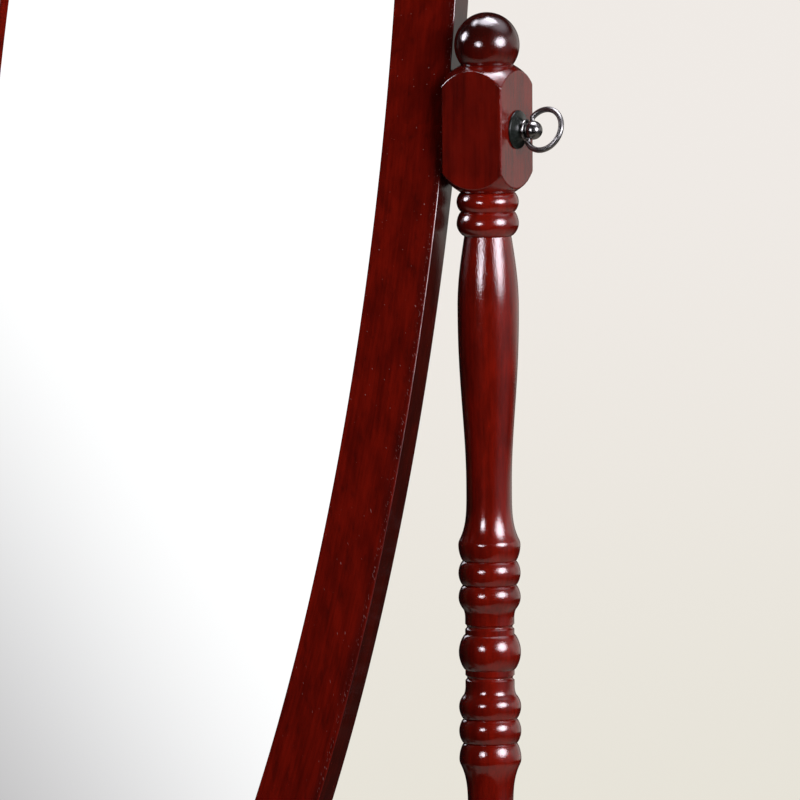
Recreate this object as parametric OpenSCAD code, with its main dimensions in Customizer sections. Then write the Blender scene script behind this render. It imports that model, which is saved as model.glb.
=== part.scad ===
// Oval cheval mirror on castors: a tilting oval glass between two turned posts.
// Millimetres, +Z up.  The origin is on the floor, midway between the four castors.
// The glass faces -Y, and the posts stand at +X (right) and -X (left).

/* [Mirror] */
// Overall width of the oval frame
frame_w = 395; // [340:1:460]
// Overall height of the oval frame
frame_h = 1378; // [1260:2:1500]
// Width of the frame's face, the same all round
frame_face = 45; // [36:0.5:50]
// Thickness of the frame's board
frame_t = 19; // [17:0.5:25]
// Width of the rebate that holds the glass
rebate_w = 9; // [6:0.5:12]
// Thickness of the mirror glass
glass_t = 4; // [3:0.5:5]
// Thickness of the backing board
backing_t = 4; // [3:0.5:5]
// Slack between the rebate and the edge of the glass
glass_slack = 0.5; // [0.3:0.1:1.5]
// Number of retaining clips on the back
clip_count = 10; // [6:2:16]
// Angle that the top of the mirror leans back at rest
rest_tilt = 12; // [0:0.05:20]
// Clearance under the mirror when it is turned over its stretcher
sweep_gap = 22.5; // [15:0.5:60]

/* [Posts] */
// Side of the square stock
post_side = 44; // [40:1:50]
// Radius of the spherical shoulders cut on the square blocks
shoulder_r = 35.5; // [34:0.5:45]
// Straight half length of the upper block's corners
upper_half = 27.4; // [24:0.2:34]
// Straight half length of the lower block's corners
lower_half = 57; // [55:0.5:70]
// Height of the lower block's centre above the floor
lower_block_z = 148.5; // [146:0.5:180]
// Radius where a block meets its turning
neck_r = 17.4; // [16:0.2:19]
// Radius of the ball finial
finial_r = 21.2; // [18.5:0.2:24]
// Largest radius of the beads
bead_r = 20.2; // [19.2:0.1:21.5]
// Radius of the quirks between the beads
quirk_r = 17.3; // [16:0.1:18.4]
// Largest radius of the vase
vase_r = 19.9; // [18:0.1:21.5]
// Smallest radius of the vase
waist_r = 14.8; // [13:0.1:16.5]
// Radius of the ball under a post
drop_r = 13; // [10:0.5:16]

/* [Stretcher] */
// Height of the stretcher's centre line
stretcher_z = 128.5; // [120:0.5:140]
// Largest radius of the stretcher
stretcher_r = 20; // [18:0.5:22]
// Radius of the stretcher's ends
stretcher_end_r = 15; // [14:0.5:17]
// Smallest radius of the stretcher
stretcher_waist_r = 10.5; // [9:0.5:13]

/* [Legs] */
// Thickness of the boards that the legs are sawn from
leg_t = 28; // [25:1:34]
// Depth of a leg where it meets the block
leg_root = 84; // [78:1:90]
// Depth of a leg at its toe
leg_toe = 30; // [28:1:36]
// Distance from the post's centre to the middle of the toe
leg_reach = 220; // [212:1:260]
// Distance from the middle of the toe back to the castor's stem
castor_inset = 16; // [14:0.5:24]

/* [Castors] */
// Radius of a castor wheel
wheel_r = 16; // [14:0.5:20]
// Width of a castor wheel
wheel_w = 14; // [10:0.5:16]
// Distance that the wheel trails behind its stem
trail = 12; // [8:0.5:14]
// Gap between the wheel and the crown of its fork
wheel_gap = 7; // [5:0.5:12]
// Radius of the stem
stem_r = 4; // [3:0.1:4.5]
// Length of the stem above the crown
stem_len = 22; // [18:1:24]

/* [Clamp knobs] */
// Radius of the clamp bolt
bolt_r = 4; // [3:0.1:4.5]
// Depth that the bolt enters the frame's insert
bolt_grip = 14; // [10:0.5:14.5]
// Thickness of the rubber washer on the frame
rubber_t = 2; // [1.5:0.1:4]
// Thickness of the steel spacer on the post
spacer_t = 2; // [1.5:0.1:6]
// Radius of both washers
washer_r = 9; // [7.5:0.1:9.4]
// Radius of the concave rosette
rosette_r = 12.6; // [11:0.1:15]
// Height of the rosette
rosette_h = 5.4; // [4:0.1:7]
// Radius of the bolt's ball
ball_r = 6.2; // [5.5:0.1:7]
// Radius of the collar behind the ball
collar_r = 7.1; // [6.4:0.1:7.4]
// Centre-line radius of the pull ring
ring_r = 13.9; // [12.5:0.1:17]
// Radius of the ring's wire
wire_r = 1.85; // [1.3:0.05:2.2]
// Turn of the cross hole from upright, about the bolt
hole_turn = 22.6; // [0:0.1:45]
// Swing of the ring from straight out, to the front
ring_swing = 9.5; // [0:0.5:30]

/* [Fixings] */
// Running clearance of every turning shaft, on the radius
run_fit = 0.06; // [0.02:0.01:0.1]
// Clearance of fixed screws and dowels, on the radius
seat_fit = 0.05; // [0.02:0.01:0.1]
// Radius of the joint bolts' shanks
joint_bolt_r = 3; // [2.5:0.1:3.5]
// Radius of the joint bolts' heads
joint_head_r = 5.2; // [4.6:0.1:5.8]
// Radius of the threaded inserts
insert_r = 5; // [4.5:0.1:5.5]
// Length of the threaded inserts for the joint bolts
insert_len = 14; // [12:0.5:15]
// Radius of the leg dowels
dowel_r = 4; // [3:0.1:4.5]
// Length of the leg dowels
dowel_len = 26; // [20:1:30]

/* [Hidden] */
$fn = 72;

CHERRY = [0.35, 0.04, 0.03];
GLASS = [0.86, 0.88, 0.90];
BOARD = [0.45, 0.32, 0.20];
STEEL = [0.62, 0.62, 0.63];
BRASS = [0.72, 0.55, 0.25];
PEWTER = [0.33, 0.33, 0.34];
BRONZE = [0.08, 0.10, 0.09];
RUBBER = [0.06, 0.06, 0.06];
BEECH = [0.80, 0.62, 0.42];

eps = 0.01;      // how far a cut runs past a face
oval_steps = 180; // points round the oval
bead_steps = 10; // points along a bead

// Heights and places that follow from the sizes above
half_w = frame_w / 2;
half_h = frame_h / 2;
pivot_z = stretcher_z + stretcher_r + sweep_gap + half_h;
side_gap = rubber_t + spacer_t;
half_side = post_side / 2;
post_x = half_w + side_gap + half_side;
inner_x = post_x - half_side;
outer_x = post_x + half_side;
corner_r = half_side * sqrt(2);
// A block's shoulder is a sphere centred this far inside the end of its corners
dome_in = sqrt(pow(shoulder_r, 2) - pow(corner_r, 2));
dome_out = sqrt(pow(shoulder_r, 2) - pow(neck_r, 2));
upper_neck = upper_half - dome_in + dome_out;
lower_neck = lower_half - dome_in + dome_out;
turned_len = pivot_z - upper_neck - lower_block_z - lower_neck;

// ---------- oval frame, glass and back ----------

// Steps round the oval lie closer together at its narrow ends
function oval_angle(i) = let (u = 360 * i / oval_steps) u + 17 * sin(2 * u);
// A point on the oval, moved inwards square to its edge
function oval_point(a, inset) =
    let (n = [half_h * cos(a), half_w * sin(a)])
    [half_w * cos(a), half_h * sin(a)] - inset * n / norm(n);
function oval_normal_angle(a) = atan2(half_w * sin(a), half_h * cos(a));

module oval(inset) {
    polygon([for (i = [0 : oval_steps - 1]) oval_point(oval_angle(i), inset)]);
}

// A flat sheet of the mirror, from depth y to y + t behind the pivot plane
module sheet(y, t) {
    translate([0, y + t, 0]) rotate([90, 0, 0]) linear_extrude(t) children();
}

module on_mirror() {
    translate([0, 0, pivot_z]) rotate([-rest_tilt, 0, 0]) children();
}

front_y = -frame_t / 2;
back_y = frame_t / 2;
board_y = back_y - backing_t;
glass_y = board_y - glass_t;
rebate_in = frame_face - rebate_w;
glass_in = rebate_in + glass_slack;
pivot_insert_r = 6;
pivot_insert_len = 15;

clip_t = 1.2;
clip_w = 12;
clip_reach = 18;     // from the clip's screw to its tip
clip_screw_in = rebate_in - 9;
clip_screw_r = 1.6;
clip_screw_len = 8;
clip_head_r = 3.4;
clip_head_t = 2;

// Places children with X pointing towards the middle of the oval, at each clip
module at_clips() {
    for (i = [0 : clip_count - 1]) {
        a = 360 * (i + 0.5) / clip_count;
        p = oval_point(a, clip_screw_in);
        translate(p) rotate(oval_normal_angle(a) + 180) children();
    }
}

module oval_frame() {
    color(CHERRY) on_mirror() difference() {
        sheet(front_y, frame_t) difference() {
            oval(0);
            oval(frame_face);
        }
        sheet(glass_y, frame_t) oval(rebate_in);
        for (side = [-1, 1])
            translate([side * (half_w - pivot_insert_len / 2), 0, 0])
                rotate([0, 90, 0])
                cylinder(r = pivot_insert_r + seat_fit, h = pivot_insert_len + 1, center = true);
        sheet(back_y - clip_screw_len - 1, frame_t) at_clips() circle(clip_screw_r + seat_fit);
    }
}

module mirror_glass() {
    color(GLASS) on_mirror() sheet(glass_y, glass_t) oval(glass_in);
}

module backing_board() {
    color(BOARD) on_mirror() sheet(board_y, backing_t) oval(glass_in);
}

module back_clips() {
    color(STEEL) on_mirror() sheet(back_y, clip_t) at_clips() difference() {
        union() {
            circle(clip_w / 2);
            translate([clip_reach - clip_w / 2, 0]) circle(clip_w / 2);
            translate([0, -clip_w / 2]) square([clip_reach - clip_w / 2, clip_w]);
        }
        circle(clip_screw_r + seat_fit);
    }
}

module clip_screws() {
    color(STEEL) on_mirror() {
        sheet(back_y + clip_t, clip_head_t) at_clips() circle(clip_head_r);
        sheet(back_y + clip_t - clip_screw_len, clip_screw_len + eps) at_clips() circle(clip_screw_r);
    }
}

// ---------- turned profiles ----------
// Each returns points [radius, distance along the lathe], without its last point.

// A round bead between two quirks
function bead(s0, s1, r0, r_top, r1) = [
    for (i = [0 : bead_steps - 1])
    let (u = i / bead_steps, r = u < 0.5 ? r0 : r1)
    [r + (r_top - r) * pow(sin(180 * u), 0.7), s0 + (s1 - s0) * u]
];
// A quick swell that levels out at its far end
function swell(s0, s1, r0, r1) = [
    for (i = [0 : 7]) let (u = i / 8) [r0 + (r1 - r0) * sin(90 * u), s0 + (s1 - s0) * u]
];
// A slow taper with level ends, kept full over its first half
function taper(s0, s1, r0, r1) = [
    for (i = [0 : 11])
    let (u = i / 12)
    [r0 + (r1 - r0) * (1 - cos(180 * pow(u, 1.15))) / 2, s0 + (s1 - s0) * u]
];
// A hollow flare that rises late
function flare(s0, s1, r0, r1) = [
    for (i = [0 : 11]) let (u = i / 12) [r0 + (r1 - r0) * pow(u, 3.5), s0 + (s1 - s0) * u]
];
// A lip that rolls over into a quirk
function roll(s0, s1, r0, r1) = [
    for (i = [0 : 5]) let (u = i / 6) [r1 + (r0 - r1) * pow(cos(90 * u), 0.7), s0 + (s1 - s0) * u]
];
// The half profile, then the same mirrored about the distance s_mid
function both_ways(half, s_mid) = concat(
    half,
    [for (i = [len(half) - 1 : -1 : 0]) [half[i][0], 2 * s_mid - half[i][1]]]
);

// Distances along half of a post's turning, from a block's neck to the middle
bead_len = 15.9;
swell_len = 46;
flare_len = 36.4;
roll_len = 12.2;
neck_len = 9.6;
quirk_len = 3;
fillet_len = 3.6;
middle_len = 23.2;
cap_bead_len = 12.6;
fillet_r = 16;
vase_top_r = 15.3;
post_mid = turned_len / 2;
s_cap = cap_bead_len;
s_vase = s_cap + bead_len;
s_belly = s_vase + swell_len;
s_ball = post_mid - middle_len / 2;
s_fillet = s_ball - fillet_len;
s_quirk = s_fillet - quirk_len / 2;
s_neck = s_fillet - quirk_len;
s_bead_b = s_neck - neck_len;
s_bead_a = s_bead_b - bead_len;
s_roll = s_bead_a - bead_len;
s_lip = s_roll - roll_len;
s_waist = s_lip - flare_len;

half_post = concat(
    bead(0, s_cap, neck_r, bead_r, quirk_r),
    bead(s_cap, s_vase, quirk_r, bead_r, vase_top_r),
    swell(s_vase, s_belly, vase_top_r, vase_r),
    taper(s_belly, s_waist, vase_r, waist_r),
    flare(s_waist, s_lip, waist_r, bead_r),
    roll(s_lip, s_roll, bead_r, quirk_r),
    bead(s_roll, s_bead_a, quirk_r, bead_r, quirk_r),
    bead(s_bead_a, s_bead_b, quirk_r, bead_r, fillet_r + 0.4),
    [[fillet_r + 0.4, s_bead_b], [fillet_r, s_bead_b + neck_len / 2], [fillet_r, s_neck]],
    [[waist_r, s_quirk], [fillet_r, s_fillet], [fillet_r, s_ball]],
    [for (p = bead(s_ball, s_ball + middle_len, fillet_r, bead_r, fillet_r))
        if (p[1] > s_ball && p[1] < post_mid) p],
    [[bead_r, post_mid - eps]]
);

// Revolves a profile of [radius, distance] downwards from z
module turning(points, z, length) {
    translate([0, 0, z]) mirror([0, 0, 1]) rotate_extrude()
        polygon(concat([[0, 0]], points, [[0, length]]));
}

// A square block with spherical shoulders, centred on the origin
module square_block(half) {
    dome_z = half - dome_in;
    neck_z = dome_z + dome_out;
    intersection() {
        cube([post_side, post_side, 2 * neck_z], center = true);
        rotate_extrude() intersection() {
            union() {
                translate([0, dome_z]) circle(shoulder_r);
                translate([0, -dome_z]) circle(shoulder_r);
                translate([0, -dome_z]) square([shoulder_r, 2 * dome_z]);
            }
            translate([0, -neck_z]) square([shoulder_r + 1, 2 * neck_z]);
        }
    }
}

finial_step = 0.7; // ledge of the neck round the ball's foot
finial_seat_r = neck_r - finial_step;
finial_up = sqrt(pow(finial_r, 2) - pow(finial_seat_r, 2));
drop_bead_len = 10;
drop_bead_r = 12;
drop_up = sqrt(pow(drop_r, 2) - pow(min(drop_bead_r, drop_r - 0.5), 2));

// Where the fixings sit in a lower block
leg_fix_gap = 22;         // between a leg's bolt and its dowels
leg_bolt_z = lower_block_z + leg_fix_gap;
leg_dowel_z = [lower_block_z, lower_block_z - leg_fix_gap];
leg_dowel_in = 10;
stretcher_bolt_in = 32;   // thickness of block that the stretcher's bolt clamps
stretcher_head_t = 6;
stretcher_grip = 20;
button_r = 7;
button_head_r = 9;
button_head_t = 3;
button_plug = 4.5;
stretcher_dowel_up = 10;
stretcher_dowel_r = 3;
stretcher_dowel_len = 24;

// One post at the origin of X: its outer face is at +X
module post() {
    color(CHERRY) difference() {
        union() {
            translate([0, 0, pivot_z]) square_block(upper_half);
            translate([0, 0, lower_block_z]) square_block(lower_half);
            turning(both_ways(half_post, post_mid), pivot_z - upper_neck, turned_len);
            // ball finial on a small fillet
            translate([0, 0, pivot_z + upper_neck + finial_up]) sphere(finial_r);
            translate([0, 0, lower_block_z - lower_neck]) {
                turning(concat(bead(0, drop_bead_len, neck_r, bead_r - 1, drop_bead_r),
                    [[drop_bead_r, drop_bead_len]]), 0, drop_bead_len);
                translate([0, 0, -drop_bead_len - drop_up]) sphere(drop_r);
            }
        }
        // clamp bolt's bore
        translate([0, 0, pivot_z]) rotate([0, 90, 0])
            cylinder(r = bolt_r + run_fit, h = post_side + 2, center = true);
        // stretcher's bolt, its counterbore and its dowel
        translate([-half_side - 1, 0, stretcher_z]) rotate([0, 90, 0])
            cylinder(r = joint_bolt_r + seat_fit, h = post_side + 2);
        translate([-half_side + stretcher_bolt_in, 0, stretcher_z]) rotate([0, 90, 0])
            cylinder(r = button_r + seat_fit, h = post_side);
        translate([-half_side - 1, 0, stretcher_z + stretcher_dowel_up]) rotate([0, 90, 0])
            cylinder(r = stretcher_dowel_r + seat_fit, h = stretcher_dowel_len / 2 + 1.5);
        // the legs' inserts and dowels, front and back
        for (face = [0, 180]) rotate([0, 0, face]) {
            translate([0, half_side - insert_len - 1, leg_bolt_z]) rotate([-90, 0, 0])
                cylinder(r = insert_r + seat_fit, h = insert_len + 2);
            for (z = leg_dowel_z) translate([0, half_side - leg_dowel_in - 0.5, z])
                rotate([-90, 0, 0]) cylinder(r = dowel_r + seat_fit, h = leg_dowel_in + 2);
        }
    }
}

module on_right() {
    translate([post_x, 0, 0]) children();
}

module on_left() {
    mirror([1, 0, 0]) on_right() children();
}

module right_post() {
    on_right() post();
}

module left_post() {
    on_left() post();
}

// ---------- stretcher and its fixings ----------

rail_mid = inner_x;
rail_collar = 5;
rail_bead = 13;
rail_swell = 34;
rail_flare = 26;
rail_roll = 8;
rail_ball = 26;
rail_top_r = 12.5;
rail_vase_r = 16;
r_ball = rail_mid - rail_ball / 2;
r_roll = r_ball - rail_roll;
r_lip = r_roll - rail_flare;
r_vase = rail_collar + rail_bead;
r_belly = r_vase + rail_swell;

half_rail = concat(
    [[stretcher_end_r, 0], [stretcher_end_r, rail_collar - 1]],
    bead(rail_collar, r_vase, stretcher_end_r - 1.5, stretcher_end_r + 2, rail_top_r),
    swell(r_vase, r_belly, rail_top_r, rail_vase_r),
    taper(r_belly, r_lip, rail_vase_r, stretcher_waist_r),
    flare(r_lip, r_roll, stretcher_waist_r, rail_vase_r + 1),
    roll(r_roll, r_ball, rail_vase_r + 1, rail_top_r),
    [for (p = bead(r_ball, r_ball + rail_ball, rail_top_r, stretcher_r, rail_top_r))
        if (p[1] < rail_mid - 0.1) p],
    [[stretcher_r, rail_mid - 0.5]]
);

// Places children at both ends of the stretcher, with +Z pointing outwards along it
module at_stretcher_ends() {
    for (side = [0, 1]) mirror([side, 0, 0])
        translate([inner_x, 0, stretcher_z]) rotate([0, 90, 0]) children();
}

module stretcher() {
    color(CHERRY) difference() {
        translate([inner_x, 0, stretcher_z]) rotate([0, 90, 0])
            turning(both_ways(half_rail, rail_mid), 0, 2 * rail_mid);
        at_stretcher_ends() {
            translate([0, 0, -insert_len - 0.5])
                cylinder(r = insert_r + seat_fit, h = insert_len + 2);
            translate([0, 0, -stretcher_grip - 1])
                cylinder(r = joint_bolt_r + seat_fit, h = stretcher_grip + 2);
            translate([-stretcher_dowel_up, 0, -stretcher_dowel_len / 2 - 0.5])
                cylinder(r = stretcher_dowel_r + seat_fit, h = stretcher_dowel_len);
        }
    }
}

// A threaded brass insert with its mouth at the origin, reaching down -Z
module insert() {
    translate([0, 0, -insert_len]) difference() {
        cylinder(r = insert_r, h = insert_len);
        translate([0, 0, -1]) cylinder(r = joint_bolt_r + seat_fit, h = insert_len + 2);
    }
}

// A socket-head bolt, its head's seat at the origin and its shank reaching down -Z
module socket_bolt(length, head_t) {
    difference() {
        union() {
            translate([0, 0, -length]) cylinder(r = joint_bolt_r, h = length + eps);
            cylinder(r = joint_head_r, h = head_t);
        }
        translate([0, 0, head_t / 2]) cylinder(r = 2.9, h = head_t, $fn = 6);
    }
}

module stretcher_inserts() {
    color(BRASS) at_stretcher_ends() insert();
}

module stretcher_bolts() {
    color(STEEL) at_stretcher_ends()
        translate([0, 0, stretcher_bolt_in])
        socket_bolt(stretcher_bolt_in + stretcher_grip, stretcher_head_t);
}

module stretcher_dowels() {
    color(BEECH) at_stretcher_ends()
        translate([-stretcher_dowel_up, 0, -stretcher_dowel_len / 2])
        cylinder(r = stretcher_dowel_r, h = stretcher_dowel_len);
}

module bolt_buttons() {
    dome_r = (pow(button_head_r, 2) + pow(button_head_t, 2)) / (2 * button_head_t);
    color(CHERRY) at_stretcher_ends() translate([0, 0, post_side]) {
        translate([0, 0, -button_plug]) cylinder(r = button_r, h = button_plug + eps);
        intersection() {
            cylinder(r = button_head_r, h = button_head_t);
            translate([0, 0, button_head_t - dome_r]) sphere(dome_r);
        }
    }
}

// ---------- legs ----------

sole_z = 2 * wheel_r + wheel_gap + 8;
leg_seat_z = lower_block_z + 5;
leg_crown = 73;    // how far the leg runs level out of its block
leg_instep = 85;   // how far it runs level into its toe
leg_steps = 28;
toe_z = sole_z + leg_toe / 2;
castor_reach = leg_reach - castor_inset;
sole_back = 15;    // how far the flat sole runs behind the castor's stem
sole_ease = 3;     // length over which the sole runs up into the leg's underside
leg_start = [half_side, leg_seat_z];
leg_end = [leg_reach, toe_z];
leg_pull_a = leg_start + [leg_crown, 0];
leg_pull_b = leg_end - [leg_instep, 0];
bolt_seat = 34;    // thickness of leg that its bolt clamps
leg_head_t = 6;

// The leg's centre line, its direction and half its depth, from 0 at the block to 1 at the toe
function leg_mid(u) = pow(1 - u, 3) * leg_start + 3 * pow(1 - u, 2) * u * leg_pull_a
    + 3 * (1 - u) * pow(u, 2) * leg_pull_b + pow(u, 3) * leg_end;
function leg_dir(u) = pow(1 - u, 2) * (leg_pull_a - leg_start)
    + 2 * (1 - u) * u * (leg_pull_b - leg_pull_a) + pow(u, 2) * (leg_end - leg_pull_b);
function leg_half(u) = leg_toe / 2 + (leg_root - leg_toe) / 2 * pow(1 - u, 1.6);
function leg_edge(u, side) = let (d = leg_dir(u) / norm(leg_dir(u)))
    leg_mid(u) + side * leg_half(u) * [-d[1], d[0]];

// The leg seen from its side, with a flat sole over the castor and the toe's end still square
module leg_outline() {
    top = [for (i = [0 : leg_steps]) leg_edge(i / leg_steps, 1)];
    sole = [[leg_reach, sole_z], [castor_reach - sole_back, sole_z]];
    under = [for (i = [leg_steps : -1 : 0])
        let (p = leg_edge(i / leg_steps, -1))
        if (p[0] < castor_reach - sole_back - sole_ease) p];
    polygon(concat(top, sole, under));
}

// One leg, reaching along +Y from a post at the origin of X
module leg() {
    color(CHERRY) difference() {
        union() {
            translate([-leg_t / 2, 0, 0]) rotate([90, 0, 90]) linear_extrude(leg_t) leg_outline();
            // the toe's rounded end
            translate([-leg_t / 2, leg_reach, toe_z]) rotate([0, 90, 0]) cylinder(r = leg_toe / 2, h = leg_t);
        }
        translate([0, half_side - 1, leg_bolt_z]) rotate([-90, 0, 0])
            cylinder(r = joint_bolt_r + seat_fit, h = bolt_seat + 2);
        translate([0, half_side + bolt_seat, leg_bolt_z]) rotate([-90, 0, 0])
            cylinder(r = joint_head_r + 0.4, h = leg_reach);
        for (z = leg_dowel_z) translate([0, half_side - 1, z]) rotate([-90, 0, 0])
            cylinder(r = dowel_r + seat_fit, h = dowel_len - leg_dowel_in + 1.5);
        translate([0, castor_reach, sole_z - 1])
            cylinder(r = socket_r + seat_fit, h = socket_len + 1.5);
    }
}

// Places children at the four legs, each with its leg along +Y
module at_legs() {
    for (side = [-1, 1]) for (face = [0, 180])
        translate([side * post_x, 0, 0]) rotate([0, 0, face]) children();
}

module front_right_leg() {
    translate([post_x, 0, 0]) rotate([0, 0, 180]) leg();
}

module back_right_leg() {
    translate([post_x, 0, 0]) leg();
}

module front_left_leg() {
    translate([-post_x, 0, 0]) rotate([0, 0, 180]) leg();
}

module back_left_leg() {
    translate([-post_x, 0, 0]) leg();
}

module leg_dowels() {
    color(BEECH) at_legs() for (z = leg_dowel_z)
        translate([0, half_side - leg_dowel_in, z]) rotate([-90, 0, 0])
        cylinder(r = dowel_r, h = dowel_len);
}

module leg_inserts() {
    color(BRASS) at_legs()
        translate([0, half_side, leg_bolt_z]) rotate([-90, 0, 0]) insert();
}

module leg_bolts() {
    color(STEEL) at_legs()
        translate([0, half_side + bolt_seat, leg_bolt_z]) rotate([-90, 0, 0])
        socket_bolt(bolt_seat + insert_len, leg_head_t);
}

// ---------- clamp bolts, rosettes and rings ----------

module pivot_inserts() {
    color(BRASS) on_mirror() for (side = [0, 1]) mirror([side, 0, 0])
        translate([half_w - pivot_insert_len, 0, 0]) rotate([0, 90, 0]) difference() {
            cylinder(r = pivot_insert_r, h = pivot_insert_len);
            translate([0, 0, -1]) cylinder(r = bolt_r + run_fit, h = pivot_insert_len + 2);
        }
}

// A washer on the right pivot, from x to x + t
module pivot_washer(x, t) {
    translate([x, 0, pivot_z]) rotate([0, 90, 0]) difference() {
        cylinder(r = washer_r, h = t);
        translate([0, 0, -1]) cylinder(r = bolt_r + run_fit, h = t + 2);
    }
}

module rubber_washers() {
    color(RUBBER) for (side = [0, 1]) mirror([side, 0, 0]) pivot_washer(half_w, rubber_t);
}

module steel_spacers() {
    color(STEEL) for (side = [0, 1]) mirror([side, 0, 0]) pivot_washer(half_w + rubber_t, spacer_t);
}

rosette_rim = 1.2;
rosette_neck_r = 5.6;
collar_t = 2.2;
ball_out = rosette_h + ball_r;       // ball's centre from the post's face
hole_out = ball_out - 2;             // cross hole from the post's face
ring_reach = 10.7 / 13.9 * ring_r;   // ring's centre from the cross hole
pin_r = wire_r - 0.35;
pin_in = 3.2;                        // inner end of a ring's pin from the ball's middle
shank_len = post_side + side_gap + bolt_grip;

// Places children on the right block's outer face, with +Z pointing out
module on_clamp() {
    translate([outer_x, 0, pivot_z]) rotate([0, 90, 0]) children();
}

// A trumpet-shaped rosette with its base at the origin
module rosette() {
    color(BRONZE) on_clamp() rotate_extrude() polygon(concat(
        [[bolt_r + run_fit, 0], [rosette_r - 0.4, 0], [rosette_r, 0.4], [rosette_r, rosette_rim]],
        [for (i = [0 : 9]) let (u = i / 9)
            [rosette_neck_r + (rosette_r - 0.5 - rosette_neck_r) * pow(1 - u, 2.2),
                rosette_rim + (rosette_h - rosette_rim) * (0.08 + 0.92 * u)]],
        [[bolt_r + run_fit, rosette_h]]
    ));
}

module clamp_bolt() {
    color(PEWTER) difference() {
        on_clamp() {
            translate([0, 0, -shank_len]) cylinder(r = bolt_r, h = shank_len + rosette_h + 1);
            translate([0, 0, rosette_h]) rotate_extrude() union() {
                square([collar_r - collar_t / 2, collar_t]);
                translate([collar_r - collar_t / 2, collar_t / 2]) circle(collar_t / 2);
            }
            translate([0, 0, ball_out]) sphere(ball_r);
        }
        translate([outer_x + hole_out, 0, pivot_z]) rotate([-hole_turn, 0, 0])
            cylinder(r = pin_r + run_fit, h = 4 * ball_r, center = true);
    }
}

// The wire ring: its end pins lie on Z, and its loop stands out along +X
module ring() {
    half_gap = acos(ring_reach / ring_r);
    end_z = ring_r * sin(half_gap);
    translate([ring_reach, 0, 0]) rotate([90, 0, 0]) rotate([0, 0, half_gap - 180])
        rotate_extrude(angle = 360 - 2 * half_gap) translate([ring_r, 0]) circle(wire_r);
    for (end = [-1, 1]) {
        translate([0, 0, end * end_z]) sphere(wire_r);
        translate([0, 0, end * (end_z + pin_in) / 2])
            cylinder(r = pin_r, h = end_z - pin_in, center = true);
    }
}

module placed_ring() {
    color(PEWTER) translate([outer_x + hole_out, 0, pivot_z])
        rotate([-hole_turn, 0, 0]) rotate([0, 0, -ring_swing]) ring();
}

module right_rosette() {
    rosette();
}

module left_rosette() {
    mirror([1, 0, 0]) rosette();
}

module right_clamp_bolt() {
    clamp_bolt();
}

module left_clamp_bolt() {
    mirror([1, 0, 0]) clamp_bolt();
}

module right_ring() {
    placed_ring();
}

module left_ring() {
    mirror([1, 0, 0]) placed_ring();
}

// ---------- castors ----------

axle_r = 2;
crown_t = 3;
crown_r = 11;
cheek_t = 2;
cheek_gap = 0.6;                       // between the wheel and a cheek
flange_t = 1.6;
flange_r = 10;
play = 0.3;                            // between the crown and the socket's flange
socket_r = stem_r + 1.5;
socket_len = stem_len + 2;
crown_top = sole_z - flange_t - play;
cheek_in = wheel_w / 2 + cheek_gap;
axle_half = cheek_in + cheek_t + 1;

module castor_sockets() {
    color(BRASS) at_legs() translate([0, castor_reach, sole_z]) difference() {
        union() {
            cylinder(r = socket_r, h = socket_len);
            translate([0, 0, -flange_t]) cylinder(r = flange_r, h = flange_t);
        }
        translate([0, 0, -flange_t - 1]) cylinder(r = stem_r + run_fit, h = stem_len + flange_t + 1.6);
    }
}

// Outline of one cheek, seen from the side: a taper from the crown to the axle
module cheek_outline() {
    boss = axle_r + 3;
    polygon([
        [-crown_r + 3, crown_top - eps], [crown_r - 1, crown_top - eps],
        [trail + boss * cos(20), wheel_r + boss * sin(20)],
        [trail - boss * cos(35), wheel_r - boss * sin(35)]
    ]);
    translate([trail, wheel_r]) circle(boss);
}

// One fork at the origin of X and Y, its wheel trailing along +Y
module fork() {
    color(BRONZE) difference() {
        union() {
            translate([0, 0, crown_top - crown_t]) cylinder(r = crown_r, h = crown_t);
            translate([0, 0, crown_top - 1]) cylinder(r = stem_r, h = stem_len + flange_t + play + 1);
            for (side = [-1, 1])
                translate([side * (cheek_in + cheek_t / 2) - cheek_t / 2, 0, 0])
                    rotate([90, 0, 90]) linear_extrude(cheek_t) cheek_outline();
        }
        translate([0, trail, wheel_r]) rotate([0, 90, 0])
            cylinder(r = axle_r + seat_fit, h = 4 * wheel_w, center = true);
    }
}

// A rivet through both cheeks
module axle() {
    color(STEEL) translate([0, trail, wheel_r]) rotate([0, 90, 0]) {
        cylinder(r = axle_r, h = 2 * axle_half, center = true);
        for (end = [0, 1]) mirror([0, 0, end])
            translate([0, 0, cheek_in + cheek_t]) cylinder(r = axle_r + 1.2, h = 1);
    }
}

// A wheel with a rounded tread, dished sides and a hub
module wheel() {
    edge = 3;
    hub_r = axle_r + 3;
    dish = 2;
    color(RUBBER) translate([0, trail, wheel_r]) rotate([0, 90, 0]) rotate_extrude() difference() {
        union() {
            translate([axle_r + run_fit, -wheel_w / 2])
                square([wheel_r - edge - axle_r - run_fit, wheel_w]);
            translate([wheel_r - edge - 1, edge - wheel_w / 2]) square([edge + 1, wheel_w - 2 * edge]);
            for (side = [-1, 1])
                translate([wheel_r - edge, side * (wheel_w / 2 - edge)]) circle(edge);
        }
        for (side = [-1, 1]) translate([hub_r, side * wheel_w / 2 - dish])
            square([wheel_r - edge - 1 - hub_r, 2 * dish]);
    }
}

module castor_at(side, face) {
    translate([side * post_x, face * castor_reach, 0]) children();
}

module front_right_fork() {
    castor_at(1, -1) fork();
}

module back_right_fork() {
    castor_at(1, 1) fork();
}

module front_left_fork() {
    castor_at(-1, -1) fork();
}

module back_left_fork() {
    castor_at(-1, 1) fork();
}

module front_right_axle() {
    castor_at(1, -1) axle();
}

module back_right_axle() {
    castor_at(1, 1) axle();
}

module front_left_axle() {
    castor_at(-1, -1) axle();
}

module back_left_axle() {
    castor_at(-1, 1) axle();
}

module front_right_wheel() {
    castor_at(1, -1) wheel();
}

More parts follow.
